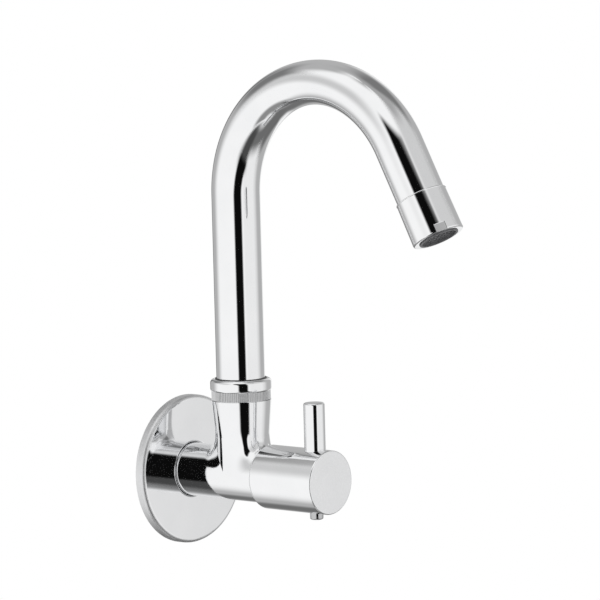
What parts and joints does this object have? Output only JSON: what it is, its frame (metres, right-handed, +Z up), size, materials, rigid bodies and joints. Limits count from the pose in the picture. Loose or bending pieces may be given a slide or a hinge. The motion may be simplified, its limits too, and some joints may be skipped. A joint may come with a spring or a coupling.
{
  "type": "wall-mounted sink tap",
  "caption": "Chrome wall-mounted sink tap with a round wall flange, a swivelling swan-neck spout on an upright, and a cylinder handle with a short pin lever for the quarter-turn valve.",
  "frame": {"origin": "where the inlet axis meets the plane of the finished wall", "axes": "+Y along the inlet axis into the wall, +Z up, +X to the right of a person facing the wall"},
  "size_m": [0.0742, 0.1928, 0.2438],
  "materials": {
    "chrome": "polished",
    "brass": "machined",
    "steel": "fine ground",
    "ceramic": "lapped alumina ceramic",
    "rubber": "moulded",
    "acetal": "moulded",
    "insert": "moulded"
  },
  "bodies": {
    "body": {"tap_body": "chrome", "wall_flange": "chrome", "flange_grip_ring": "rubber", "headwork_body": "brass", "headwork_ring": "rubber", "seat_seal": "rubber", "fixed_disc": "ceramic", "collar": "chrome", "slip_ring": "acetal", "slip_washer": "acetal"},
    "handle": {"handle": "chrome", "lever_pin": "chrome", "lock_screw": "chrome", "spindle": "brass", "moving_disc": "ceramic", "spindle_rings": "rubber", "spindle_washer": "acetal", "spindle_clip": "steel"},
    "spout": {"spout_tube": "chrome", "spout_ferrule": "brass", "spout_rings": "rubber", "outlet_bush": "brass", "aerator_seal": "rubber", "aerator_housing": "chrome", "aerator_insert": "insert", "aerator_screens": "steel"}
  },
  "joints": [
    {"name": "handle_turn", "type": "hinge", "parent": "body", "child": "handle", "pos_m": [0, -0.08, 0], "axis": [0, -1, 0], "range_deg": [0, 90]},
    {"name": "spout_swivel", "type": "hinge", "parent": "body", "child": "spout", "pos_m": [0, -0.0382, 0.045], "axis": [0, 0, 1], "range_deg": [-100, 100]}
  ]
}
